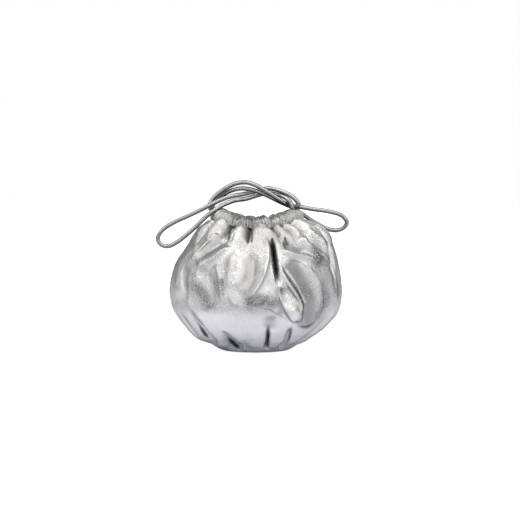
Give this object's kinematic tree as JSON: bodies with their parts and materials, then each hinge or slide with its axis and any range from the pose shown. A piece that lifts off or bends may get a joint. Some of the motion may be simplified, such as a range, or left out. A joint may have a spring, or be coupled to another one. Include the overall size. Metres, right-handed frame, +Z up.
{
  "type": "drawstring pouch bag",
  "caption": "Round gathered drawstring pouch of silver leather, standing on a small oval base, with a ruffled casing and two looped cords.",
  "frame": {"origin": "on the floor, under the middle of the bag's body", "axes": "+Z up, +X to the bag's right seen from the front, the front faces -Y"},
  "size_m": [0.2305, 0.1659, 0.2018],
  "materials": {
    "body_leather": "crinkled silver foil leather",
    "casing_leather": "gathered silver foil leather, slightly darker",
    "cord_leather": "rolled silver foil leather cord"
  },
  "bodies": {
    "root": {"body": "body_leather", "base": "body_leather", "casing": "casing_leather", "drawstring_left": "cord_leather", "drawstring_right": "cord_leather", "drawstring_left_in_casing": "cord_leather", "drawstring_right_in_casing": "cord_leather"}
  },
  "joints": []
}
